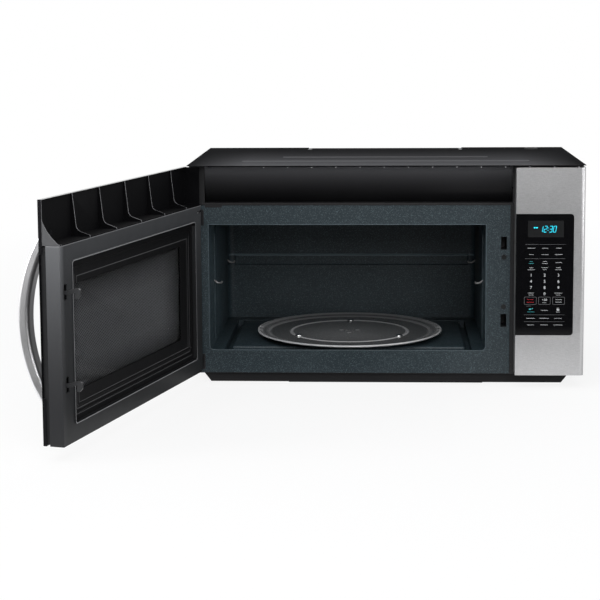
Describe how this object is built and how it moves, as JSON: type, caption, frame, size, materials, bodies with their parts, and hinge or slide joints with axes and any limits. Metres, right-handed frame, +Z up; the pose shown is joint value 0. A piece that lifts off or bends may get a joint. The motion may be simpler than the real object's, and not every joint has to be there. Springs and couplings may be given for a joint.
{
  "type": "over-the-range microwave",
  "caption": "Wide over-the-range microwave with hood blower: side-hung louvred door, curved bar handle, glass turntable, key panel and vented top.",
  "frame": {"origin": "middle of the underside of the base, at half of the case's width and depth", "axes": "+X is the viewer's right, +Y points into the wall behind, +Z is up; the front faces -Y"},
  "size_m": [0.9759, 1.0214, 0.436],
  "materials": {
    "black_case": "satin black powder coat over sheet steel",
    "zinc_sheet": "dull zinc-plated sheet",
    "blue_enamel": "speckled blue-grey enamel",
    "dark_enamel": "speckled dark enamel",
    "stainless": "fine brushed stainless steel",
    "plated_steel": "bright plated steel",
    "black_plastic": "moulded black plastic with a fine grain",
    "gloss_black": "polished black plastic",
    "grey_cover": "satin dark grey moulding",
    "black_glass": "black printed glass",
    "clear_glass": "clear tempered glass",
    "screen_metal": "perforated black enamelled sheet",
    "mica": "pressed mica sheet",
    "board": "green circuit board",
    "display": "dark display window",
    "aluminium_mesh": "layered aluminium mesh",
    "charcoal": "charcoal granules in felt",
    "white_plastic": "natural moulded plastic",
    "copper_iron": "varnished laminations and copper winding",
    "rubber": "moulded rubber"
  },
  "bodies": {
    "case": {"top_cover": "black_case", "side_panel_left": "black_case", "side_panel_right": "black_case", "base_pan": "black_case", "base_centre_plate": "black_case", "rear_panel": "zinc_sheet", "waveguide": "zinc_sheet", "vent_blower_housing": "zinc_sheet", "exhaust_damper_frame": "zinc_sheet", "vent_blower_motor": "zinc_sheet", "turntable_motor": "zinc_sheet", "cooling_fan_motor": "zinc_sheet", "front_plate": "blue_enamel", "cavity_shell": "dark_enamel", "control_panel_frame": "stainless", "hinge_brackets": "plated_steel", "case_screws": "plated_steel", "rack_supports": "plated_steel", "hv_capacitor": "plated_steel", "thermal_cutouts": "plated_steel", "vent_frame": "black_plastic", "control_bezel": "black_plastic", "latch_bodies": "black_plastic", "interlock_switches": "black_plastic", "cooling_fan_shroud": "black_plastic", "vent_deflector": "gloss_black", "control_glass": "black_glass", "surface_light_lenses": "clear_glass", "lamps": "clear_glass", "waveguide_cover": "mica", "key_membrane": "mica", "control_board": "board", "noise_filter_board": "board", "display_module": "display", "grease_filters": "aluminium_mesh", "magnetron": "aluminium_mesh", "charcoal_filter": "charcoal", "hv_transformer": "copper_iron", "cord_gland": "rubber"},
    "door": {"door_skin": "stainless", "door_glass": "black_glass", "door_frame": "black_case", "door_hinge_bushes": "white_plastic", "latch_spring": "plated_steel", "door_screen": "screen_metal", "door_inner_glass": "clear_glass", "door_inner_cover": "grey_cover", "door_louvre": "black_plastic", "door_handle": "stainless", "handle_screws": "plated_steel"},
    "latch": {"latch_key": "black_plastic"},
    "turntable": {"glass_tray": "clear_glass", "drive_coupler": "white_plastic"},
    "roller_ring": {"roller_ring": "white_plastic"},
    "roller_1": {"roller_wheel_1": "white_plastic"},
    "roller_2": {"roller_wheel_2": "white_plastic"},
    "roller_3": {"roller_wheel_3": "white_plastic"},
    "blower_rotor": {"vent_blower_rotor": "zinc_sheet"},
    "fan_wheel": {"cooling_fan_wheel": "black_plastic"},
    "damper": {"damper_flap": "zinc_sheet"}
  },
  "joints": [
    {"name": "door_hinge", "type": "hinge", "parent": "case", "child": "door", "pos_m": [-0.3675, -0.22, 0.187], "axis": [0, 0, 1], "range_deg": [0, 105]},
    {"name": "latch_slide", "type": "slide", "parent": "door", "child": "latch", "axis": [0, 0, 1], "range_m": [0, 0.004], "stiffness_N_per_m": 400, "springref_m": -0.005},
    {"name": "turntable_spin", "type": "hinge", "parent": "case", "child": "turntable", "pos_m": [-0.07385, -0.006, 0.056], "axis": [0, 0, 1], "continuous": true},
    {"name": "roller_ring_spin", "type": "hinge", "parent": "case", "child": "roller_ring", "pos_m": [-0.07385, -0.006, 0.0555], "axis": [0, 0, 1], "continuous": true},
    {"name": "blower_spin", "type": "hinge", "parent": "case", "child": "blower_rotor", "pos_m": [0, 0.079, 0.37145], "axis": [1, 0, 0], "continuous": true},
    {"name": "fan_spin", "type": "hinge", "parent": "case", "child": "fan_wheel", "pos_m": [0.3, 0.17, 0.34], "axis": [0, 1, 0], "continuous": true},
    {"name": "damper_hinge", "type": "hinge", "parent": "case", "child": "damper", "pos_m": [0, 0.152, 0.426], "axis": [1, 0, 0], "range_deg": [0, 80]},
    {"name": "roller_1_spin", "type": "hinge", "parent": "roller_ring", "child": "roller_1", "pos_m": [0.01615, -0.006, 0.0555], "axis": [1, 0, 0], "continuous": true},
    {"name": "roller_2_spin", "type": "hinge", "parent": "roller_ring", "child": "roller_2", "pos_m": [-0.11885, 0.07194, 0.0555], "axis": [-0.5, 0.866, 0], "continuous": true},
    {"name": "roller_3_spin", "type": "hinge", "parent": "roller_ring", "child": "roller_3", "pos_m": [-0.11885, -0.08394, 0.0555], "axis": [-0.5, -0.866, 0], "continuous": true}
  ],
  "couplings": [
    {"joint": "roller_ring_spin", "follows": "turntable_spin", "ratio": 0.5},
    {"joint": "roller_1_spin", "follows": "turntable_spin", "ratio": -5.4878},
    {"joint": "roller_2_spin", "follows": "turntable_spin", "ratio": -5.4878},
    {"joint": "roller_3_spin", "follows": "turntable_spin", "ratio": -5.4878}
  ]
}
